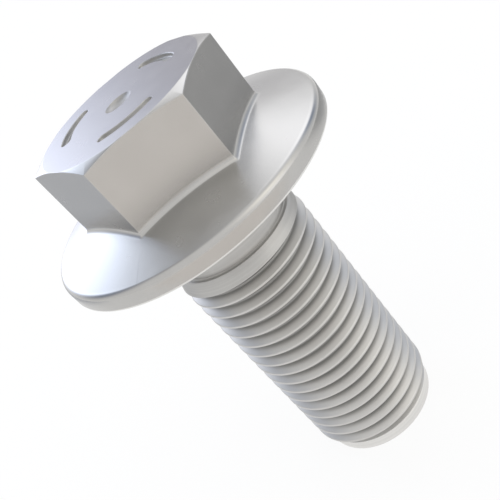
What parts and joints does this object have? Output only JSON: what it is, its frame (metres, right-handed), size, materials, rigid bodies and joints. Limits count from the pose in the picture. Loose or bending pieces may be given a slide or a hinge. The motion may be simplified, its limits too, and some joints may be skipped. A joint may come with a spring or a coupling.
{
  "type": "hexagon flange bolt",
  "caption": "Hexagon bolt with a wide conical flange under the head, a relieved neck, a fine right-hand thread along the shank and a short plain pilot at the tip.",
  "frame": {"origin": "centre of the bearing face under the flange, on the bolt's axis", "axes": "+Z along the bolt's axis towards the head; two corners of the hexagon lie on the X axis"},
  "size_m": [0.0285, 0.0284, 0.0437],
  "materials": {
    "satin_steel": "fine satin, bright zinc plated"
  },
  "bodies": {
    "root": {"flange_bolt": "satin_steel"}
  },
  "joints": []
}
